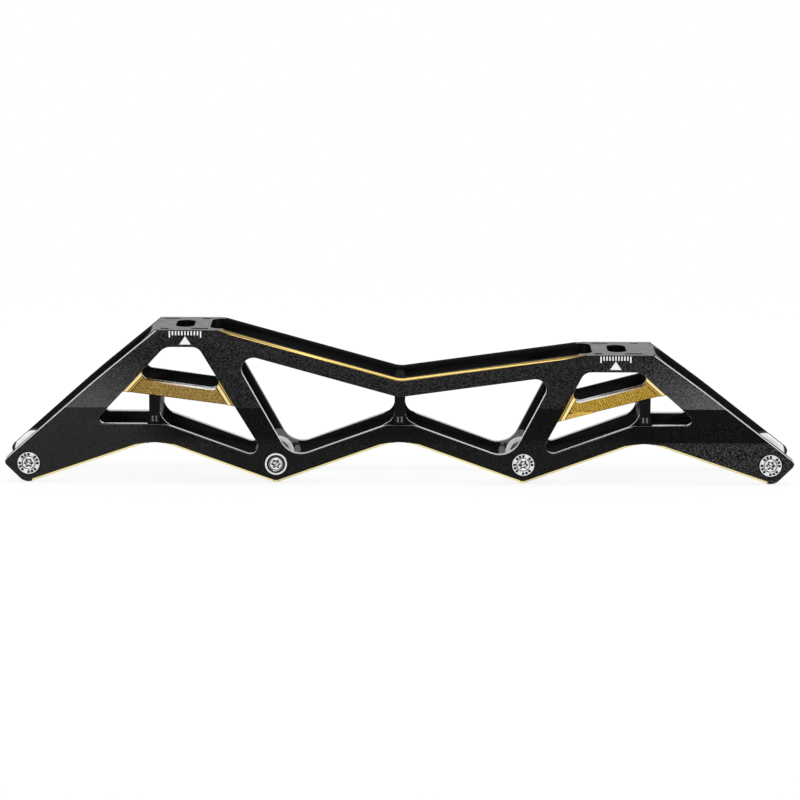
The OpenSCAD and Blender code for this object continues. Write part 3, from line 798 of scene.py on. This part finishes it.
# Where the rail starts to fall, to the rear (-1) or front (1) of each post that has a fillet there,
# and how steeply it falls
RAIL_FLAT = {"rear": {1: 4.3}, "center": {-1: 6.0, 1: 6.0}, "front": {-1: 4.3}}
RAIL_FALL = 0.43
# Painted highlights: light grey bars in the pockets of the posts' feet
BAR_OFFSET = 0.85 * MM
BAR_WIDTH = 0.8 * MM
BAR_LOW, BAR_HIGH = 1.2 * MM, 3.8 * MM
POCKET_DEPTH = 0.25 * MM
BAR_DEPTH = 0.8 * POCKET_DEPTH


def post_fillets(low, high, flats):
    middle = (low.x + high.x) / 2
    near_y, far_y = FILLET_Y

    def build(form):
        for toward, flat in flats.items():
            rail = [-RAIL_FALL * max(0, x - flat) for x, _ in FILLET]
            outline = [(x, z + base) for (x, z), base in zip(FILLET, rail)]
            outline += [(FILLET[-1][0], rail[-1] - FILLET_ROOT), (FILLET[0][0], -FILLET_ROOT)]
            for side in (-1, 1):
                corners = [(middle + toward * x * MM, side * near_y, low.z + z * MM) for x, z in outline]
                prism(form, corners, Vector((0, side * (far_y - near_y), 0)))
    return build


def foot_highlight_bars(low, high):
    middle = (low.x + high.x) / 2
    bottom, top = low.z + BAR_LOW, low.z + BAR_HIGH

    def build(form):
        for side in (-1, 1):
            y = side * (high.y - POCKET_DEPTH)
            for x in (middle - BAR_OFFSET, middle + BAR_OFFSET):
                left, right = x - BAR_WIDTH / 2, x + BAR_WIDTH / 2
                corners = [(left, y, bottom), (right, y, bottom), (right, y, top), (left, y, top)]
                prism(form, corners, Vector((0, side * BAR_DEPTH, 0)))
    return build


for place, flats in RAIL_FLAT.items():
    low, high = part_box(f"{place}_cross_post")
    build = post_fillets(low, high, flats)
    fillets = piece_from(f"{place}_post_fillets", build, EDGE, "frame")
    fillets.data.materials.append(POST)
    for face in fillets.data.polygons:
        face.material_index = 1 if abs(face.normal.y) > 0.9 else 0
    piece_from(f"{place}_foot_highlight_bars", foot_highlight_bars(low, high), GREY, "frame")


# Floor: white diffuse, and plain white to the eye and to reflections away from the object
FLOOR_SIZE = 24
FLOOR_DROP = 0.0005
PLAIN_FROM, PLAIN_TO = 0.25, 0.7


def seen_rays(tree):
    """1 for rays from the camera, off gloss or through glass, 0 for the rest."""
    path = tree.nodes.new("ShaderNodeLightPath")
    total = path.outputs["Is Camera Ray"]
    for output in ("Is Glossy Ray", "Is Transmission Ray"):
        highest = tree.nodes.new("ShaderNodeMath")
        highest.operation = "MAXIMUM"
        tree.links.new(total, highest.inputs[0])
        tree.links.new(path.outputs[output], highest.inputs[1])
        total = highest.outputs[0]
    return total


def floor_white():
    s = Shader("floor_white", Roughness=0.9, Specular_IOR_Level=0.0)
    s.set("Base Color", s.mixed(s.noise(4), grey(248), grey(250)))
    reach = s.add("ShaderNodeVectorMath", {0: s.place}, operation="LENGTH").outputs["Value"]
    plain = s.math("MULTIPLY", s.ranged(reach, PLAIN_FROM, PLAIN_TO, 0.86, 1.0), seen_rays(s.tree))
    glow = s.add("ShaderNodeEmission", {"Color": (1, 1, 1, 1), "Strength": 1.0})
    mix = s.add("ShaderNodeMixShader", {0: plain, 1: s.principled.outputs[0], 2: glow.outputs[0]})
    s.tree.links.new(mix.outputs[0], s.tree.nodes["Material Output"].inputs["Surface"])
    return s.material


bpy.ops.mesh.primitive_plane_add(size=FLOOR_SIZE, location=(0, 0, -FLOOR_DROP))
floor = bpy.context.object
floor.name = "floor"
floor.data.materials.append(floor_white())
floor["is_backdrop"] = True

# Light: a white surround, dimmer as light than to the eye, and one soft lamp overhead
AMBIENT = 0.75
scene = bpy.context.scene
scene.view_settings.view_transform = "Standard"
world = bpy.data.worlds.new("studio")
world.use_nodes = True
tree = world.node_tree
background = tree.nodes["Background"]
background.inputs["Color"].default_value = (1, 1, 1, 1)
level = tree.nodes.new("ShaderNodeMapRange")
level.inputs["To Min"].default_value = AMBIENT
level.inputs["To Max"].default_value = 1.0
tree.links.new(seen_rays(tree), level.inputs["Value"])
tree.links.new(level.outputs["Result"], background.inputs["Strength"])
scene.world = world

LAMP_SIZE = (1.5, 0.4)
LAMP_PLACE = Vector((0, -0.1, 1.3))
LAMP_AIM = Vector((0, 0, 0.03))
# How bright the lamp's face looks
LAMP_RADIANCE = 5.0
lamp_data = bpy.data.lights.new("overhead", "AREA")
lamp_data.shape = "RECTANGLE"
lamp_data.size, lamp_data.size_y = LAMP_SIZE
lamp_data.energy = LAMP_RADIANCE * math.pi * LAMP_SIZE[0] * LAMP_SIZE[1]
lamp = bpy.data.objects.new("overhead", lamp_data)
lamp.location = LAMP_PLACE
lamp.rotation_euler = (LAMP_AIM - LAMP_PLACE).to_track_quat("-Z", "Y").to_euler()
lamp.visible_camera = False
scene.collection.objects.link(lamp)

# Camera, fitted to the photo
CAMERA_PLACE = (0.00005, -1.63246, 0.34284)
CAMERA_TILT = math.radians(79.3193)
CAMERA_ROLL = math.radians(0.2286)
camera_data = bpy.data.cameras.new("camera")
camera_data.lens = 164.44
camera_data.sensor_width = 36
camera_data.clip_end = 100
camera = bpy.data.objects.new("camera", camera_data)
turn = Matrix.Rotation(CAMERA_TILT, 4, "X") @ Matrix.Rotation(CAMERA_ROLL, 4, "Z")
camera.matrix_world = Matrix.Translation(CAMERA_PLACE) @ turn
scene.collection.objects.link(camera)
scene.camera = camera

low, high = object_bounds()
